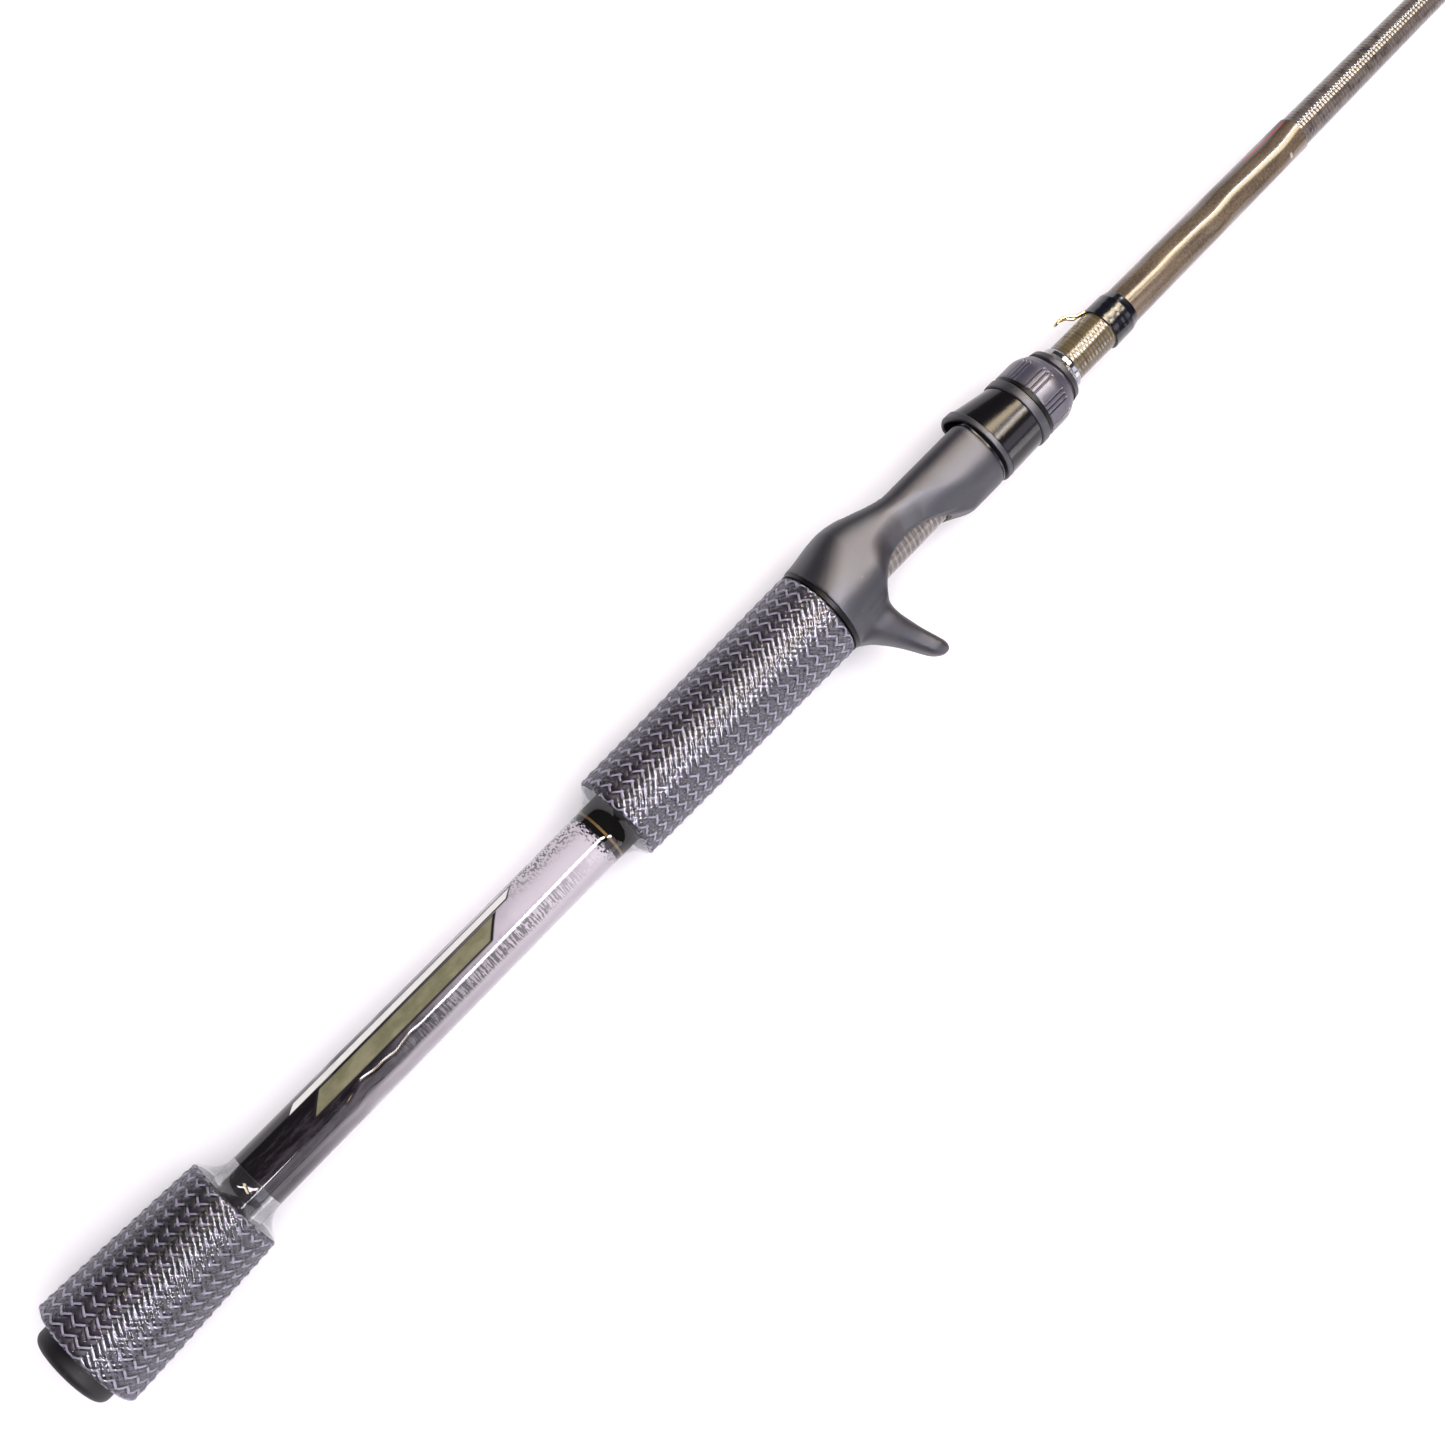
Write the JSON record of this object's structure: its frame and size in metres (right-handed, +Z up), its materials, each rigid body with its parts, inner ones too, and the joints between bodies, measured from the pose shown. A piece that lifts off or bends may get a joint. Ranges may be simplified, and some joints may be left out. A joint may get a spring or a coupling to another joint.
{
  "type": "baitcasting fishing rod",
  "caption": "Slim tapered rod with split braided grips, trigger reel seat with a screw-locked sliding hood, hook keeper and wrapped line guides.",
  "frame": {"origin": "centre of the butt cap's flat end, on the blank's axis", "axes": "+X from the butt to the tip, +Y towards the reel and the line guides, -Y towards the finger trigger, +Z up with the rod lying on its side"},
  "size_m": [2.083, 0.0526, 0.0332],
  "materials": {
    "carbon_blank": "gloss, carbon-fibre composite",
    "soft_black": "matte moulded rubber",
    "grip_foam": "closed-cell foam core",
    "braided_sleeve": "charcoal and silver braid under clear resin",
    "clear_resin": "clear epoxy",
    "printed_film": "printed decorative film, unlettered",
    "gloss_black": "gloss black",
    "gold_thread": "gold metallic thread",
    "seat_nylon": "soft-touch dark grey",
    "arbor_foam": "rigid foam",
    "nut_nylon": "matte dark grey",
    "gunmetal": "gunmetal anodised",
    "olive_thread": "olive-gold nylon thread under epoxy",
    "black_thread": "black nylon thread under epoxy",
    "keeper_wire": "polished wire",
    "olive_coat": "brown-olive finish under epoxy",
    "guide_steel": "smoke chrome",
    "guide_ceramic": "polished ceramic"
  },
  "bodies": {
    "rod": {"barrel_end_ring": "seat_nylon", "blank": "carbon_blank", "butt_cap": "soft_black", "fore_ramp": "clear_resin", "guide_1_frame": "guide_steel", "guide_1_ring": "guide_ceramic", "guide_1_wrap": "black_thread", "guide_2_frame": "guide_steel", "guide_2_ring": "guide_ceramic", "guide_2_wrap": "black_thread", "guide_3_frame": "guide_steel", "guide_3_ring": "guide_ceramic", "guide_3_wrap": "black_thread", "guide_4_frame": "guide_steel", "guide_4_ring": "guide_ceramic", "guide_4_wrap": "black_thread", "guide_5_frame": "guide_steel", "guide_5_ring": "guide_ceramic", "guide_5_wrap": "black_thread", "guide_6_frame": "guide_steel", "guide_6_ring": "guide_ceramic", "guide_6_wrap": "black_thread", "guide_7_frame": "guide_steel", "guide_7_ring": "guide_ceramic", "guide_7_wrap": "black_thread", "guide_8_frame": "guide_steel", "guide_8_ring": "guide_ceramic", "guide_8_wrap": "black_thread", "hook_keeper": "keeper_wire", "keeper_wrap": "olive_thread", "keeper_wrap_black": "black_thread", "label_coat": "olive_coat", "main_grip_core": "grip_foam", "main_grip_ramp": "clear_resin", "main_grip_sleeve": "braided_sleeve", "rear_grip_core": "grip_foam", "rear_grip_ramp": "clear_resin", "rear_grip_sleeve": "braided_sleeve", "reel_seat_body": "seat_nylon", "seat_arbor_front": "arbor_foam", "seat_arbor_rear": "arbor_foam", "seat_trim_ring": "gloss_black", "shaft_clearcoat": "clear_resin", "shaft_scrim": "printed_film", "tip_frame": "guide_steel", "tip_ring": "guide_ceramic", "tip_tube": "guide_steel", "tip_wrap": "black_thread", "trim_band": "gloss_black", "trim_gold_ring": "gold_thread", "winding_check": "gunmetal"},
    "hood": {"hood_insert": "seat_nylon", "hood_shell": "gloss_black"},
    "nut": {"nut_sleeve": "seat_nylon", "nut_rear_ring": "gloss_black", "lock_nut": "nut_nylon", "nut_front_ring": "nut_nylon"}
  },
  "joints": [
    {"name": "hood_slide", "type": "slide", "parent": "rod", "child": "hood", "axis": [1, 0, 0], "range_m": [0, 0.01]},
    {"name": "nut_spin", "type": "hinge", "parent": "hood", "child": "nut", "pos_m": [0.3516, 0, 0], "axis": [1, 0, 0], "range_deg": [0, 1800]}
  ],
  "couplings": [
    {"joint": "nut_spin", "follows": "hood_slide", "rad_per_m": 3141.6}
  ]
}
